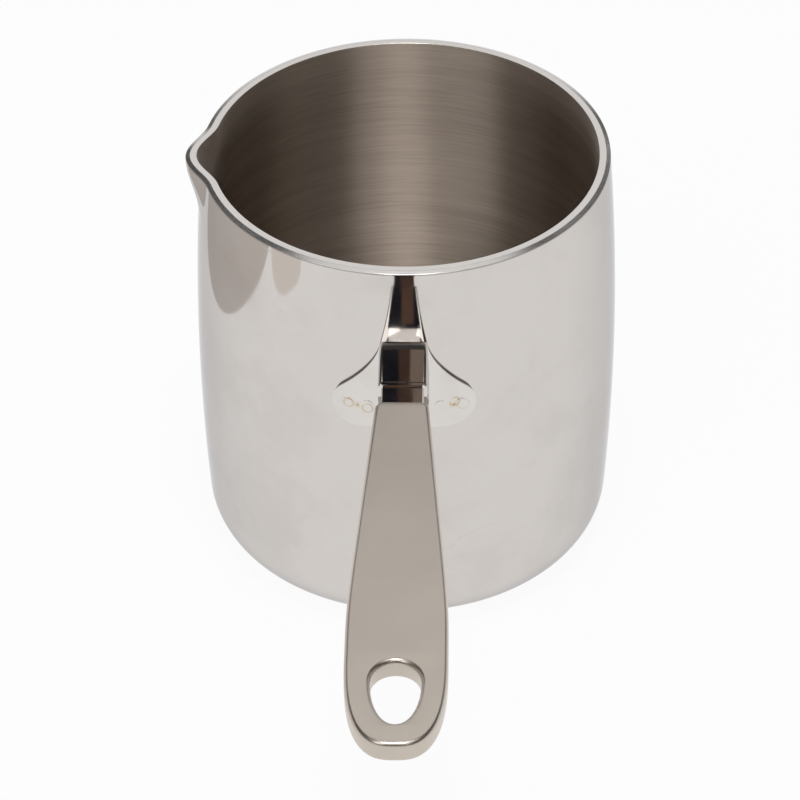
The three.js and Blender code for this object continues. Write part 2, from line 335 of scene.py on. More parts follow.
def satinSteel():  # handle bar: brushed along its length
    look, rough = satinLook, satinLook["rough"]
    finish, board, place = newFinish("satinSteel")
    fine = board.streaks(board.axes(place), look["fine"], 3.0, 0.6)
    smudge = board.noise(place, *look["smudge"]).between(*look["smudgeRange"])
    closeSteel(board, {
        "Base Color": board.mix(smudge, steelTone["satin"], steelTone["satinLow"]),
        "Roughness": rough["plain"] + fine * rough["fine"],
        "Normal": board.bump(look["fineStrength"], look["fineDepth"], fine)})
    return finish


heatMarks = {  # places on the ears as (x, z), with radius and strength, in millimetres
    "rings": [
        ((-12.6, 70.4), 1.1, 0.6),
        ((-8.3, 69.4), 1.2, 0.7),
        ((11.5, 70.9), 1.15, 0.8),
        ((13.5, 69.9), 1.3, 0.25),
    ],
    "ringWidth": 0.34,
    "spots": [((-10.6, 70.0), 0.9, 0.55), ((11.4, 70.0), 0.9, 0.8)],
    "haloSize": 1.6,  # of a spot's radius
    "haloTint": 0.5,
    "coreSize": 0.6,
    "wobble": 0.7,
    "wobbleNoise": (420.0, 1.0),
    "patchNoise": (480.0, 2.0),
    "patchRange": (0.25, 0.6),
    "earFace": (-54.5 * mm, -53.5 * mm),  # along Y, where the tint fades out
}


def heatTint(board, place, steel):  # straw rings and brown spots over a steel colour
    x, y, z = board.axes(place)
    wobble = (board.noise(place, *heatMarks["wobbleNoise"]) - 0.5) * heatMarks["wobble"]
    x = x / mm + wobble
    z = z / mm - wobble
    onEar = y.between(*heatMarks["earFace"])
    patchy = board.noise(place, *heatMarks["patchNoise"]).between(*heatMarks["patchRange"]) * onEar

    def away(centre):
        besideX, besideZ = x - centre[0], z - centre[1]
        return (besideX * besideX + besideZ * besideZ).root()

    tinted = steel
    for centre, radius, strength in heatMarks["spots"]:
        halo = 1 - away(centre).between(0.0, radius * heatMarks["haloSize"])
        tinted = board.mix(halo * onEar * strength * heatMarks["haloTint"], tinted, steelTone["straw"])
        core = 1 - away(centre).between(0.0, radius * heatMarks["coreSize"])
        tinted = board.mix(core * patchy * strength, tinted, steelTone["umber"])
    for centre, radius, strength in heatMarks["rings"]:
        ring = 1 - (away(centre) - radius).size().between(0.0, heatMarks["ringWidth"])
        tinted = board.mix(ring * patchy * strength, tinted, steelTone["straw"])
    return tinted


pressedLook = {
    "haze": (120.0, 3.0),
    "hazeRange": (0.4, 0.75),
    "hazeRough": 0.05,
    "grain": (900.0, 2.0),
    "grainStrength": 0.04,
    "grainDepth": 0.05 * mm,
}


def pressedSteel(name, rough, tone, hazeTone):  # bracket and welds: pressed sheet with heat tint
    look = pressedLook
    finish, board, place = newFinish(name)
    haze = board.noise(place, *look["haze"]).between(*look["hazeRange"])
    grain = board.noise(place, *look["grain"])
    steel = board.mix(haze, steelTone[tone], steelTone[hazeTone])
    closeSteel(board, {
        "Base Color": heatTint(board, place, steel),
        "Roughness": rough + haze * look["hazeRough"],
        "Normal": board.bump(look["grainStrength"], look["grainDepth"], grain)})
    return finish


finishes = {
    "outside": mirrorSteel(),
    "rim": rimSteel(),
    "inside": brushedSteel(),
    "bar": satinSteel(),
    "bracket": pressedSteel("pressedSteel", 0.05, "pressed", "pressedHaze"),
    # the sheet's cut edges: a dark tone as painted shade
    "cut": pressedSteel("cutEdgeShade", 0.25, "marksAndShade", "cutEdgeShadeHaze"),
    "weld": pressedSteel("weldSteel", 0.09, "pressed", "pressedHaze"),
}
print("finishes made:", len(finishes))


# Turning built geometry into plain pieces

def curveAt(share, points):  # a point on a Bezier curve
    while len(points) > 1:
        points = [a.lerp(b, share) for a, b in zip(points, points[1:])]
    return points[0]


def plainMesh(thing):  # evaluated mesh, with modifiers applied and removed
    graph = bpy.context.evaluated_depsgraph_get()
    made = bpy.data.meshes.new_from_object(thing.evaluated_get(graph))
    thing.modifiers.clear()
    thing.data = made
    return thing


def linkObject(name, data):
    thing = bpy.data.objects.new(name, data)
    scene.collection.objects.link(thing)
    return thing


def meshFrom(name, shape):
    mesh = bpy.data.meshes.new(name)
    shape.to_mesh(mesh)
    shape.free()
    return mesh


def faceUp(shape):  # an open sheet, with its outside on the upper side
    bmesh.ops.recalc_face_normals(shape, faces=shape.faces)
    if sum(face.normal.z * face.calc_area() for face in shape.faces) < 0:
        bmesh.ops.reverse_faces(shape, faces=shape.faces)


def smoothShade(thing, angle):
    thing.data.shade_smooth()
    thing.data.set_sharp_from_angle(angle=math.radians(angle))


def softenEdges(thing, width, angle):  # a narrow bevel that leaves the faces beside it flat
    edge = thing.modifiers.new("softEdge", "BEVEL")
    edge.width = width
    edge.segments = 2
    edge.limit_method = "ANGLE"
    edge.angle_limit = math.radians(angle)
    edge.harden_normals = True
    thing.data.shade_smooth()


def newRule(name, settings):  # a Geometry Nodes tree with an input for each setting
    tree = bpy.data.node_groups.new(name, "GeometryNodeTree")
    tree.interface.new_socket("Geometry", in_out="OUTPUT", socket_type="NodeSocketGeometry")
    for label in settings:
        tree.interface.new_socket(label, in_out="INPUT", socket_type="NodeSocketFloat")
    given = tree.nodes.new("NodeGroupInput")
    return Board(tree), {label: Wire(given.outputs[label]) for label in settings}


def ruledPiece(name, tree, settings):
    thing = linkObject(name, bpy.data.meshes.new(name))
    rule = thing.modifiers.new(tree.name, "NODES")
    rule.node_group = tree
    for socket in tree.interface.items_tree:
        if socket.in_out == "INPUT":
            rule[socket.identifier] = settings[socket.name]
    return plainMesh(thing)


# Pot body: a turned profile with a lip pressed into the rim

pot = {
    "Height": potTop,
    "Rim Radius": 47.5 * mm,
    "Foot Radius": 48.5 * mm,
    "Bulge": 1.7 * mm,
    "Corner": 11.9 * mm,
    "Wall": 2.6 * mm,
    "Base": 2.6 * mm,
    "Chamfer Width": 1.1 * mm,
    "Chamfer Drop": 0.4 * mm,
    "Lip Bearing": math.radians(182.2),
    "Lip Half Angle": math.radians(15.1),
    "Lip Reach": 3.5 * mm,
    "Lip Depth": 14.3 * mm,
}
potSteps = {"around": 320, "wall": 72, "corner": 16, "rim": 3, "base": 8}
potEdge = {"width": 0.09 * mm, "angle": 16}
zoneNames = ["outside", "rim", "inside"]

chamferZ = pot["Height"] - pot["Chamfer Drop"]
footSpread = 4 * pot["Bulge"] + pot["Rim Radius"] - pot["Foot Radius"]
footLean = math.atan(footSpread / (chamferZ - pot["Corner"]))
cornerZ = pot["Corner"] * (1 - math.sin(footLean))


def wallRadius(z):  # outside of the wall, away from the lip
    share = (chamferZ - z) / (chamferZ - cornerZ)
    straight = pot["Rim Radius"] + (pot["Foot Radius"] - pot["Rim Radius"]) * share
    return straight + 4 * pot["Bulge"] * share * (1 - share)


def potRule():
    board, size = newRule("potRule", pot)
    rim, foot, bulge = size["Rim Radius"], size["Foot Radius"], size["Bulge"]
    corner, wall, base = size["Corner"], size["Wall"], size["Base"]
    height = size["Height"]
    topZ = height - size["Chamfer Drop"]
    spread = bulge * 4 + rim - foot
    lean = spread.calc("ARCTANGENT", spread / (topZ - corner))
    lowZ = corner * (1 - lean.sin())
    innerCorner = corner - wall
    innerLowZ = base + innerCorner * (1 - lean.sin())
    quarter = math.pi / 2

    def wallAt(z):
        share = (topZ - z) / (topZ - lowZ)
        return rim + (foot - rim) * share + bulge * 4 * share * (1 - share)

    def swell(share):
        return (share.most(0.0).least(1.0) * math.pi).cos() * 0.5 + 0.5

    def band(rows, shape, zone):  # one stretch of the profile, swept round
        grid = board.node("GeometryNodeMeshGrid", None, {
            "Size X": 1.0, "Size Y": 1.0, "Vertices X": potSteps["around"] + 1, "Vertices Y": rows + 1})
        across, along, _ = board.axes(board.node("GeometryNodeInputPosition"))
        bearing = (across + 0.5) * (2 * math.pi)
        radius, z = shape(along + 0.5)
        drop = (height - z) / size["Lip Depth"]
        turn = (bearing - size["Lip Bearing"]).size() / size["Lip Half Angle"]
        radius = radius + size["Lip Reach"] * swell(drop) * swell(turn)
        place = board.vector(radius * bearing.cos(), radius * bearing.sin(), z)
        moved = board.node("GeometryNodeSetPosition", None, {"Geometry": grid, "Position": place})
        return board.node("GeometryNodeStoreNamedAttribute", {"data_type": "INT", "domain": "FACE"}, {
            "Geometry": moved, "Name": "zone", "Value": zone})

    footCentre = foot - corner * lean.cos()
    innerFoot = wallAt(innerLowZ) - wall
    innerCentre = innerFoot - innerCorner * lean.cos()

    def arc(centre, floor, radius, turn):
        return centre + radius * turn.cos(), floor + radius + radius * turn.sin()

    def innerWall(v):
        z = height + (innerLowZ - height) * v
        return wallAt(z) - wall, z

    def innerBend(v):
        return arc(innerCentre, base, innerCorner, -lean - v * lowTurn)

    flat = rim - size["Chamfer Width"]
    lowTurn = quarter - lean  # from straight down to the wall's lean
    stretches = [
        (potSteps["base"], lambda v: (footCentre * v, 0.0), 0),
        (potSteps["corner"], lambda v: arc(footCentre, 0.0, corner, v * lowTurn - quarter), 0),
        (potSteps["wall"], lambda v: (wallAt(lowZ + (topZ - lowZ) * v), lowZ + (topZ - lowZ) * v), 0),
        (potSteps["rim"], lambda v: (rim - size["Chamfer Width"] * v, topZ + size["Chamfer Drop"] * v), 1),
        (potSteps["rim"], lambda v: (flat + (wallAt(height) - wall - flat) * v, height), 1),
        (potSteps["wall"], innerWall, 2),
        (potSteps["corner"], innerBend, 2),
        (potSteps["base"], lambda v: (innerCentre * (1 - v), base), 2),
    ]
    bands = [band(*stretch) for stretch in stretches]
    joined = board.node("GeometryNodeJoinGeometry", None, {"Geometry": bands})
    merged = board.node("GeometryNodeMergeByDistance", None, {"Geometry": joined, "Distance": 0.001 * mm})
    shell = board.node("GeometryNodeRealizeInstances", None, {"Geometry": merged})
    for zone, name in enumerate(zoneNames):
        mark = board.node("GeometryNodeInputNamedAttribute", {"data_type": "INT"}, {"Name": "zone"})
        same = {"data_type": "INT", "operation": "EQUAL"}
        here = board.node("FunctionNodeCompare", same, {2: mark, 3: zone})
        shell = board.node("GeometryNodeSetMaterial", None, {
            "Geometry": shell, "Selection": here, "Material": finishes[name]})
    board.node("NodeGroupOutput", None, {"Geometry": shell})
    return board.tree


def makePot():
    thing = ruledPiece("potBody", potRule(), pot)
    softenEdges(thing, **potEdge)
    plainMesh(thing)
    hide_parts("pot_body")
    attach(thing, "root")
    return thing


potBody = makePot()
print("pot body:", len(potBody.data.polygons), "faces")


# Lines that the handle's pieces share, as heights at a distance from the pot's axis

handle = {
    "top": pot["Height"] - 17.5 * mm,  # where the channel meets the wall
    "seat": 0.3 * mm,
    "sheet": 0.8 * mm,
    "neckWidth": 11.0 * mm,
    "neckLength": 18.6 * mm,
    "neckRise": math.radians(8),
    "neckDip": 0.7 * mm,  # of the channel's top where it curves down to the wall
    "neckCurve": 8.0 * mm,
    "tangShows": 8.8 * mm,
    "tangInside": 4.0 * mm,  # the bar
    "tangDepth": 0.4 * mm,  # of the tang's top under the line of the neck, outside the channel
    "tangFit": 0.3 * mm,
    "tangLift": 0.4 * mm,
    "barStep": 0.65 * mm,
    "barRise": math.radians(6),
    "barThick": 4.5 * mm,
}
neckHalf = handle["neckWidth"] / 2
neckRoot = wallRadius(handle["top"]) + handle["seat"]
mouthReach = neckRoot + handle["neckLength"]
barReach = mouthReach + handle["tangShows"]


def neckZ(reach, depth=0.0):
    climb = (reach - neckRoot) * math.tan(handle["neckRise"])
    return handle["top"] + climb - depth / math.cos(handle["neckRise"])


def plateZ(reach, depth=0.0):  # the channel's top, which curves down to the wall
    share = max(1 - (reach - neckRoot) / handle["neckCurve"], 0.0)
    return neckZ(reach, depth) - handle["neckDip"] * share * share


def barTopZ(reach):
    return neckZ(barReach) + handle["barStep"] + (reach - barReach) * math.tan(handle["barRise"])


def tangUnderZ(reach):
    return barTopZ(reach) - (handle["barThick"] - handle["tangLift"]) / math.cos(handle["barRise"])


bead = {  # of weld, round the tang at the channel's mouth
    "gap": 0.05 * mm,
    "length": 1.3 * mm,
    "crown": 0.03 * mm,
    "corner": 0.9 * mm,
    "depth": 0.75 * mm,
    "steps": 8,
}


# Handle bar

bar = {
    "length": 122.6 * mm,
    "neckWidth": 11.9 * mm,
    "taper": math.radians(3.5),
    "endWidth": 20.8 * mm,
    "endRound": 30.2 * mm,
    "endBlunt": 2.8,  # power of the end's oval
    "noseRadius": 2.4 * mm,
    "noseSteps": 10,
    "sideStraight": 7 / 8,  # of the side's length, where its straight taper aims
    "sideFull": 4 / 5,  # of it, from where the side heads for its full width
    "edge": 1.0 * mm,
    "edgeSteps": 6,
    "holeWidth": 10.1 * mm,
    "holeLength": 20.3 * mm,
    "holeBroadEnd": 6.5 * mm,
    "holeToTip": 6.9 * mm,
    "ovalSteps": 64,
    "sideSteps": 24,
}


def ovalPoints(centre, halfWide, halfLong, fromTurn, toTurn, steps, power=2.0):
    points = []
    for step in range(steps + 1):
        turn = fromTurn + (toTurn - fromTurn) * step / steps
        across, along = math.cos(turn), math.sin(turn)
        x = math.copysign(abs(across) ** (2 / power), across)
        y = math.copysign(abs(along) ** (2 / power), along)
        points.append((halfWide * x, centre + halfLong * y))
    return points


def barOutline():
    nose = bar["noseRadius"]
    noseHalf, endHalf = bar["neckWidth"] / 2, bar["endWidth"] / 2
    endStart = bar["length"] - bar["endRound"]
    corner = ovalPoints(nose, nose, nose, -math.pi / 2, 0.0, bar["noseSteps"])
    right = [(noseHalf - nose + x, y) for x, y in corner]
    straight = endStart * bar["sideStraight"]
    control = [
        Vector((noseHalf, nose)),
        Vector((noseHalf + (straight - nose) * math.tan(bar["taper"]), straight)),
        Vector((endHalf, endStart * bar["sideFull"])),
        Vector((endHalf, endStart)),
    ]
    side = [curveAt(step / bar["sideSteps"], control) for step in range(1, bar["sideSteps"])]
    right += [(point.x, point.y) for point in side]
    end = ovalPoints(endStart, endHalf, bar["endRound"], 0.0, math.pi, bar["ovalSteps"], bar["endBlunt"])
    left = [(-x, y) for x, y in reversed(right)]
    return right + end + left


def holeOutline():
    narrow = bar["holeLength"] - bar["holeBroadEnd"]
    widest = bar["length"] - bar["holeToTip"] - narrow
    half = bar["holeWidth"] / 2
    steps = bar["ovalSteps"] // 2
    outer = ovalPoints(widest, half, narrow, 0.0, math.pi, steps)
    inner = ovalPoints(widest, half, bar["holeBroadEnd"], math.pi, 2 * math.pi, steps)
    return outer[:-1] + inner[:-1]


def addLoop(curve, points):
    spline = curve.splines.new("POLY")
    spline.points.add(len(points) - 1)
    for point, (x, y) in zip(spline.points, points):
        point.co = (x, y, 0.0, 1.0)
    spline.use_cyclic_u = True


def sidePrism(outline, width):  # a side outline, made as wide as the width along X
    shape = bmesh.new()
    left, right = [
        [shape.verts.new((side * width / 2, -reach, z)) for reach, z in outline]
        for side in (-1, 1)]
    shape.faces.new(left)
    shape.faces.new(right[::-1])
    for here in range(len(outline)):
        after = (here + 1) % len(outline)
        shape.faces.new((left[after], left[here], right[here], right[after]))
    bmesh.ops.recalc_face_normals(shape, faces=shape.faces)
    return shape


def tangMesh():
    start = neckRoot + handle["sheet"]
    end = barReach + handle["tangInside"]
    depth = handle["sheet"] + handle["tangFit"]
    step = mouthReach + bead["length"] + 2 * bead["gap"]
    outline = [
        (step, neckZ(step, depth)),
        (start, neckZ(start, depth)),
        (start, tangUnderZ(start)),
        (end, tangUnderZ(end)),
        (end, neckZ(end, handle["tangDepth"])),
        (step, neckZ(step, handle["tangDepth"])),
    ]
    mesh = meshFrom("tang", sidePrism(outline, handle["neckWidth"] - 2 * depth))
    mesh.materials.append(finishes["bracket"])
    return mesh


def makeBar():
    flat = bpy.data.curves.new("barOutline", "CURVE")
    flat.dimensions = "2D"
    flat.fill_mode = "BOTH"
    flat.extrude = handle["barThick"] / 2 - bar["edge"]
    flat.bevel_depth = bar["edge"]
    flat.bevel_resolution = bar["edgeSteps"]
    flat.offset = -bar["edge"]
    addLoop(flat, barOutline())
    addLoop(flat, holeOutline())
    blank = linkObject("barBlank", flat)
    graph = bpy.context.evaluated_depsgraph_get()
    mesh = bpy.data.meshes.new_from_object(blank.evaluated_get(graph))
    bpy.data.objects.remove(blank)
    rise = handle["barRise"]
    along = Vector((0, -math.cos(rise), math.sin(rise)))
    up = Vector((0, math.sin(rise), math.cos(rise)))
    middle = Vector((0, -barReach, barTopZ(barReach))) - up * handle["barThick"] / 2
    turn = Matrix((Vector((-1, 0, 0)), along, up)).transposed().to_4x4()
    mesh.transform(Matrix.Translation(middle) @ turn)
    shape = bmesh.new()
    shape.from_mesh(mesh)
    bmesh.ops.remove_doubles(shape, verts=shape.verts, dist=0.001 * mm)
    bmesh.ops.recalc_face_normals(shape, faces=shape.faces)
    thing = linkObject("handleBar", meshFrom("handleBar", shape))
    thing.data.materials.append(finishes["bar"])
    tang = linkObject("tang", tangMesh())
    join = thing.modifiers.new("join", "BOOLEAN")
    join.operation = "UNION"
    join.solver = "EXACT"
    join.material_mode = "TRANSFER"
    join.object = tang
    plainMesh(thing)
    bpy.data.objects.remove(tang)
    smoothShade(thing, 40)
    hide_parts("handle_bar")
    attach(thing, "root")
    return thing


handleBar = makeBar()
print("handle bar:", len(handleBar.data.polygons), "faces")


# Bracket: one pressed sheet, folded into a channel with a lobed ear on each side

bracket = {
    "earHeight": 24.1 * mm,
    "earReach": 10.9 * mm,
    "lobe": 6.0 * mm,
    "meet": math.radians(50),
    "lead": 0.9,  # of the lobe's radius: how far the ogee runs on at each end
    "topHold": 8,  # power: how closely to its top the side follows the channel's top
    "softEdge": {"width": 0.16 * mm, "angle": 50},
    "fold": 0.9 * mm,
    "crown": 0.14 * mm,  # of the channel's top, across it
    "intoWall": 0.45 * mm,  # the channel's top is seated against the wall
    "earBend": 1.5 * mm,
    "lobeSteps": 18,
    "ogeeSteps": 16,
    "cheekSteps": 10,
    "bendSteps": 5,
    "earSteps": 12,
    "plateSteps": 10,
}
earBottom = handle["top"] - bracket["earHeight"]


def earEdge():  # outer edge of one ear as (x, z), from its bottom up to the neck
    lobe = bracket["lobe"]
    lobeX = neckHalf + bracket["earReach"] - lobe
    lobeZ = earBottom + lobe
    meet = bracket["meet"]
    edge = []
    for step in range(bracket["lobeSteps"] + 1):
        turn = -math.pi / 2 + (meet + math.pi / 2) * step / bracket["lobeSteps"]
        edge.append(Vector((lobeX + lobe * math.cos(turn), lobeZ + lobe * math.sin(turn))))
    lead = bracket["lead"] * lobe
    control = [
        edge[-1],
        edge[-1] + lead * Vector((-math.sin(meet), math.cos(meet))),
        Vector((neckHalf + handle["sheet"] / 2, handle["top"] - lead)),
        Vector((neckHalf, handle["top"] - bracket["fold"])),
    ]
    edge += [curveAt(step / bracket["ogeeSteps"], control) for step in range(1, bracket["ogeeSteps"] + 1)]
    return edge


def onWall(x, z, lift):  # a point on the wall's outside, lifted off it
    radius = wallRadius(z) + lift
    return Vector((x, -math.sqrt(radius * radius - x * x), z))


def sideRows():  # rows of points from the channel's mouth, round the bend and out over the ear
    lift = handle["seat"] + handle["sheet"]
    topZ = handle["top"] - bracket["fold"]
    mouthTop = plateZ(mouthReach) - bracket["fold"]
    mouthLow = tangUnderZ(mouthReach)
    rows = []
    for edge in earEdge():
        share = (edge.y - earBottom) / (topZ - earBottom)
        mouth = Vector((neckHalf, -mouthReach, mouthLow + (mouthTop - mouthLow) * share))
        root = onWall(neckHalf, edge.y, lift)
        bend = min(bracket["earBend"], 0.45 * (edge.x - neckHalf))
        cheekEnd = root + (mouth - root).normalized() * bend
        earStart = onWall(neckHalf + bend, edge.y, lift)
        row = [mouth.lerp(cheekEnd, step / bracket["cheekSteps"]) for step in range(bracket["cheekSteps"])]
        row += [curveAt(step / bracket["bendSteps"], [cheekEnd, root, earStart])
                for step in range(bracket["bendSteps"])]
        for step in range(bracket["earSteps"] + 1):
            x = neckHalf + bend + (edge.x - neckHalf - bend) * step / bracket["earSteps"]
            row.append(onWall(x, edge.y, lift))
        for spot in row:  # the side's top follows the curve of the channel's top
            spot.z += (plateZ(-spot.y) - neckZ(-spot.y)) * share ** bracket["topHold"]
        rows.append(row)
    return rows


def skin(shape, rows):  # faces between rows of points
    verts = [[shape.verts.new(point) for point in row] for row in rows]
    for low, high in zip(verts, verts[1:]):
        for here in range(len(low) - 1):
            shape.faces.new((low[here], low[here + 1], high[here + 1], high[here]))


def topRows(cheekTop):  # across the channel's top, from one cheek over both folds to the other
    fold = bracket["fold"]
    rows = []
    for point in cheekTop:
        reach = -point.y
        line = point.z + fold
        over = [Vector((neckHalf, line - fold)), Vector((neckHalf, line)), Vector((neckHalf - fold, line))]
        half = [curveAt(step / bracket["bendSteps"], over) for step in range(bracket["bendSteps"])]
        start, end = Vector((neckHalf - fold, line)), Vector((fold - neckHalf, line))
        steps = bracket["plateSteps"]
        flat = [start.lerp(end, step / steps) for step in range(steps + 1)]
        section = half + flat + [Vector((-spot.x, spot.y)) for spot in reversed(half)]
        for spot in section:
            spot.y += bracket["crown"] * (1 - (spot.x / neckHalf) ** 2)
        rows.append([Vector((spot.x, -reach, spot.y)) for spot in section])
    last = []
    for spot in rows[-1]:  # on along the slope, into the wall
        end = onWall(spot.x, spot.z, -bracket["intoWall"])
        end.z += plateZ(-end.y) - plateZ(-spot.y)
        last.append(end)
    return rows + [last]


def makeBracket():
    shape = bmesh.new()
    right = sideRows()
    left = [[Vector((-point.x, point.y, point.z)) for point in reversed(row)] for row in right]
    skin(shape, right)
    skin(shape, left)
    skin(shape, topRows(right[-1][:bracket["cheekSteps"] + 1]))
    bmesh.ops.remove_doubles(shape, verts=shape.verts, dist=0.01 * mm)
    bmesh.ops.dissolve_degenerate(shape, edges=shape.edges, dist=0.005 * mm)
    faceUp(shape)
    thing = linkObject("handleBracket", meshFrom("handleBracket", shape))
    wall = thing.modifiers.new("sheet", "SOLIDIFY")
    wall.thickness = handle["sheet"]
    wall.offset = -1.0
    wall.use_even_offset = True
    wall.material_offset_rim = 1  # the sheared edges, darkened as painted shade
    softenEdges(thing, **bracket["softEdge"])
    thing.data.materials.append(finishes["bracket"])
    thing.data.materials.append(finishes["cut"])
    plainMesh(thing)
    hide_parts("handle_bracket")
    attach(thing, "root")
    return thing


handleBracket = makeBracket()
print("handle bracket:", len(handleBracket.data.polygons), "faces")


# Neck weld: the bead between the bracket's mouth and the bar's tang

def beadRow(share):  # across the bead, from one side over the top to the other
    reach = mouthReach + bead["gap"] + bead["length"] * share
    sunk = bead["crown"] * (1 - math.sin(math.pi * share))
    half, topZ, corner = neckHalf - sunk, plateZ(reach) - sunk, bead["corner"]
    turn = [Vector((half, topZ - corner)), Vector((half, topZ)), Vector((half - corner, topZ))]
    side = [Vector((half, tangUnderZ(reach)))]
    side += [curveAt(step / bead["steps"], turn) for step in range(bead["steps"] + 1)]
    section = side + [Vector((-spot.x, spot.y)) for spot in reversed(side)]
    return [Vector((spot.x, -reach, spot.y)) for spot in section]


def makeBead():
    shape = bmesh.new()
    skin(shape, [beadRow(step / bead["steps"]) for step in range(bead["steps"] + 1)])
    faceUp(shape)
    thing = linkObject("neckWeld", meshFrom("neckWeld", shape))
    wall = thing.modifiers.new("depth", "SOLIDIFY")
    wall.thickness = bead["depth"]
    wall.offset = -1.0
    plainMesh(thing)
    thing.data.materials.append(finishes["bracket"])
    smoothShade(thing, 50)
    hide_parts("neck_weld")
    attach(thing, "root")
    return thing


neckWeld = makeBead()
print("neck weld:", len(neckWeld.data.polygons), "faces")


# Spot welds: shallow dished buttons on the ears

spotWeld = {
    "Radius": 1.3 * mm,
    "Pitch": 4.6 * mm,
    "Middle": neckHalf + bracket["earReach"] - bracket["lobe"],  # of a pair, from the pot's middle plane
    "Level": earBottom + bracket["lobe"],
    "Wall": wallRadius(earBottom + bracket["lobe"]),
    "Inner": 0.15 * mm,
    "Outer": handle["seat"] + handle["sheet"] + 0.05 * mm,
    "Dish": 0.06 * mm,
}
spotSteps = {"around": 40, "rings": 6}
spotWaves = 0.8  # of the dished top, from its middle to its edge


def spotRule():
    board, size = newRule("spotRule", spotWeld)
    button = board.node("GeometryNodeMeshCylinder", {"fill_type": "TRIANGLE_FAN"}, {
        "Vertices": spotSteps["around"],
        "Side Segments": 1,
        "Fill Segments": spotSteps["rings"],
        "Radius": size["Radius"],
        "Depth": size["Outer"] - size["Inner"]})
    x, y, z = board.axes(board.node("GeometryNodeInputPosition"))
    away = (x * x + y * y).root() / size["Radius"]
    isTop = z.calc("GREATER_THAN", z, 0.0)
    dip = isTop * size["Dish"] * ((away * (2 * math.pi * spotWaves)).cos() * -0.5)
    button = board.node("GeometryNodeSetPosition", None, {
        "Geometry": button, "Offset": board.vector(0.0, 0.0, dip)})
    button = board.node("GeometryNodeTransform", None, {
        "Geometry": button, "Translation": board.vector(0.0, 0.0, (size["Outer"] + size["Inner"]) * 0.5)})

    row = board.node("GeometryNodeMeshLine", None, {"Count": 4})
    order = board.node("GeometryNodeInputIndex")
    isRight = order.calc("GREATER_THAN", order, 1.5)
    isOdd = order.calc("MODULO", order, 2.0)
    x = (isRight * 2 - 1) * size["Middle"] + (isOdd - 0.5) * size["Pitch"]
    bearing = x.calc("ARCSINE", x / size["Wall"])
    place = board.vector(x, -(size["Wall"] * bearing.cos()), size["Level"])
    row = board.node("GeometryNodeSetPosition", None, {"Geometry": row, "Position": place})
    facing = board.vector(math.pi / 2, 0.0, bearing)
    placed = board.node("GeometryNodeInstanceOnPoints", None, {
        "Points": row, "Instance": button, "Rotation": facing})
    solid = board.node("GeometryNodeRealizeInstances", None, {"Geometry": placed})
    solid = board.node("GeometryNodeSetMaterial", None, {"Geometry": solid, "Material": finishes["weld"]})
    board.node("NodeGroupOutput", None, {"Geometry": solid})
    return board.tree


def makeSpots():
    thing = ruledPiece("spotWelds", spotRule(), spotWeld)
    smoothShade(thing, 35)
    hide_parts("spot_weld_left_outer", "spot_weld_left_inner",
                "spot_weld_right_inner", "spot_weld_right_outer")
    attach(thing, "root")
    return thing


spotWelds = makeSpots()
print("spot welds:", len(spotWelds.data.polygons), "faces")


# Camera at the photograph's view, its lens worked out for an 800 by 800 frame

view = {
    "focal": 3968.5,  # pixels
    "frame": 800.0,  # pixels
    "distance": 964.8 * mm,
    "elevation": math.radians(38.625),
    "azimuth": math.radians(0.95),
    "roll": 0.007,
    "target": Vector((-1.71 * mm, 0.0, 31.9 * mm)),
}


def makeCamera():
    lens = bpy.data.cameras.new("photoView")
    lens.sensor_width = 36.0
    lens.lens = view["focal"] * lens.sensor_width / view["frame"]
    lens.clip_start = 0.01
    camera = linkObject("photoView", lens)
    rise, roll = view["elevation"], view["roll"]
    back = Vector((0, -math.cos(rise), math.sin(rise)))
    up = Vector((0, math.sin(rise), math.cos(rise)))
    right = Vector((1, 0, 0))
    tiltedRight = right * math.cos(roll) - up * math.sin(roll)
    tiltedUp = right * math.sin(roll) + up * math.cos(roll)
    axes = Matrix((tiltedRight, tiltedUp, back)).transposed().to_4x4()
    spin = Matrix.Rotation(view["azimuth"], 4, "Z")
    camera.matrix_world = spin @ Matrix.Translation(view["target"] + back * view["distance"]) @ axes
    scene.camera = camera


makeCamera()


# Stage: pale floor, plain world and soft lamps

stage = {
    "floor": 6.0,
    "floorTone": rgb(0.9, 0.9, 0.9),
    "cameraGlow": 0.93,  # share of plain white that the camera sees in the floor
    "mirrorGlow": 0.9,  # the same for reflections of the floor
    "horizon": 1.0,
    "dome": 0.07,
    "bandEdge": (0.06, 0.25),  # rise of the sky where the horizon's white fades into the dome
    "patchSteps": 72,
    "patchBlunt": 3.0,  # power of a floor card's oval
    "patchLift": 0.5 * mm,
}
lamps = {  # place, aim, size, radiance
    "backBox": ((0.0, 0.95, 0.95), (0, 0, 0.08), (1.2, 0.8), 0.85),
    "leftBox": ((-0.7, -0.97, 1.28), (0, 0, 0.08), (1.0, 1.0), 1.9),
    "rightBox": ((0.5, -1.11, 1.28), (0, 0, 0.08), (0.3, 1.0), 2.0),
    "zenithBox": ((0.01, -0.31, 1.46), (0.01, -0.06, 0.08), (0.36, 0.6), 13.0),
    "neckBox": ((0.0, -0.7, 1.32), (0, -0.06, 0.09), (0.5, 0.22), 1.2),
    "chamferBox": ((0.02, 0.28, 1.5), (0.02, 0.0, 0.08), (1.1, 0.5), 0.8),
    "rightHigh": ((0.62, -0.1, 1.4), (0, 0, 0.08), (0.6, 0.6), 0.9),
    "leftHigh": ((-0.8, -0.1, 1.2), (0, 0, 0.08), (0.4, 0.6), 0.5),
}
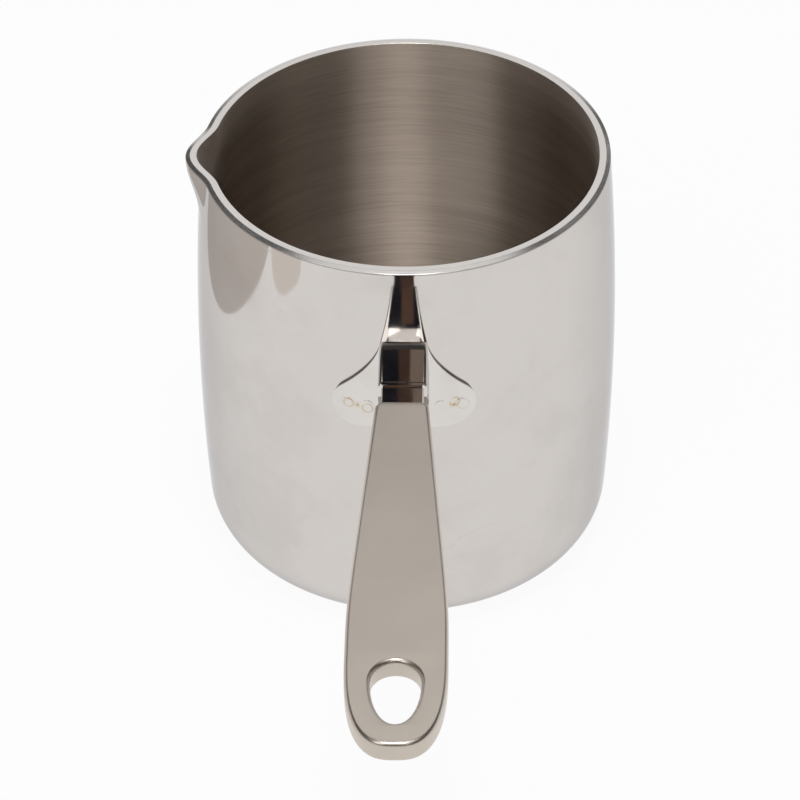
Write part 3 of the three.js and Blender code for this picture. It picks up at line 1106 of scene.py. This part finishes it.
cards = {  # place, aim, size, colour
    "cardDark": ((0.0, -0.86, 1.03), (0, -0.06, 0.09), (0.6, 0.34), rgb(0.012, 0.014, 0.02)),
    "cardBrown": ((0.04, -0.84, 0.97), (0, -0.06, 0.09), (0.17, 0.22), rgb(0.14, 0.085, 0.06)),
    "cardNavy": ((-0.28, -1.14, 0.72), (-0.28, -0.06, 0.09), (0.4, 0.5), rgb(0.012, 0.014, 0.02)),
    "cardUmber": ((0.0, -1.13, 0.72), (0, -0.06, 0.09), (0.17, 0.5), rgb(0.085, 0.05, 0.04)),
    "cardBeige": ((0.28, -1.14, 0.72), (0.28, -0.06, 0.09), (0.4, 0.5), rgb(0.3, 0.24, 0.2)),
}
floorCards = {  # place on the floor, half sizes, turn, colour
    "leftPatch": ((-0.23, 0.03), (0.11, 0.08), 58, rgb(0.62, 0.585, 0.555)),
    "leftSpot": ((-0.203, -0.113), (0.032, 0.034), 0, rgb(0.8, 0.755, 0.71)),
}


def makeFloor():
    shape = bmesh.new()
    bmesh.ops.create_grid(shape, x_segments=2, y_segments=2, size=stage["floor"])
    floor = linkObject("floor", meshFrom("floor", shape))
    finish, board, place = newFinish("floorPaint")
    path = board.node("ShaderNodeLightPath")
    paint = board.node("ShaderNodeBsdfDiffuse", None, {"Color": stage["floorTone"]})
    white = board.node("ShaderNodeEmission", None, {"Color": rgb(1, 1, 1), "Strength": 1.0})
    mirrored = path.out("Is Glossy Ray").most(path.out("Is Transmission Ray"))
    share = path.out("Is Camera Ray") * stage["cameraGlow"] + mirrored * stage["mirrorGlow"]
    shade = board.node("ShaderNodeMixShader", None, {0: share, 1: paint, 2: white})
    board.node("ShaderNodeOutputMaterial", None, {"Surface": shade})
    floor.data.materials.append(finish)


def makeWorld():
    world = bpy.data.worlds.new("studio")
    scene.world = world
    world.use_nodes = True
    world.node_tree.nodes.clear()
    board = Board(world.node_tree)
    path = board.node("ShaderNodeLightPath")
    aim = board.node("ShaderNodeTexCoord").out("Generated")
    rise = board.axes(aim)[2]
    fade = rise.between(*stage["bandEdge"])
    lit = stage["horizon"] + fade * (stage["dome"] - stage["horizon"])
    strength = path.most(lit)  # the camera sees plain white
    glow = board.node("ShaderNodeBackground", None, {"Color": rgb(1, 1, 1), "Strength": strength})
    board.node("ShaderNodeOutputWorld", None, {"Surface": glow})


def turnTo(thing, place, aim):
    thing.location = place
    thing.rotation_euler = (Vector(aim) - Vector(place)).to_track_quat("-Z", "Y").to_euler()


def makeLamp(name, place, aim, size, radiance):
    light = bpy.data.lights.new(name, "AREA")
    light.shape = "RECTANGLE"
    light.size, light.size_y = size
    light.energy = radiance * math.pi * size[0] * size[1]
    lamp = linkObject(name, light)
    lamp.visible_camera = False
    turnTo(lamp, place, aim)


def hideCard(card, colour):  # plain colour that only reflections show
    finish, board, place = newFinish(card.name)
    paint = board.node("ShaderNodeEmission", None, {"Color": colour, "Strength": 1.0})
    board.node("ShaderNodeOutputMaterial", None, {"Surface": paint})
    card.data.materials.append(finish)
    card.visible_camera = False
    card.visible_diffuse = False
    card.visible_shadow = False


def makeCard(name, place, aim, size, colour):  # a studio card that only reflections show
    shape = bmesh.new()
    bmesh.ops.create_grid(shape, x_segments=1, y_segments=1, size=0.5)
    bmesh.ops.scale(shape, vec=(*size, 1.0), verts=shape.verts)
    card = linkObject(name, meshFrom(name, shape))
    turnTo(card, place, aim)
    hideCard(card, colour)


def makeFloorCard(name, place, half, turn, colour):  # the same, lying on the floor
    shape = bmesh.new()
    outline = ovalPoints(0.0, *half, 0.0, 2 * math.pi, stage["patchSteps"], stage["patchBlunt"])[:-1]
    shape.faces.new([shape.verts.new((x, y, 0.0)) for x, y in outline])
    card = linkObject(name, meshFrom(name, shape))
    card.location = (*place, stage["patchLift"])
    card.rotation_euler = (0, 0, math.radians(turn))
    hideCard(card, colour)


makeFloor()
makeWorld()
for name, settings in lamps.items():
    makeLamp(name, *settings)
for name, settings in cards.items():
    makeCard(name, *settings)
for name, settings in floorCards.items():
    makeFloorCard(name, *settings)
print("stage set")
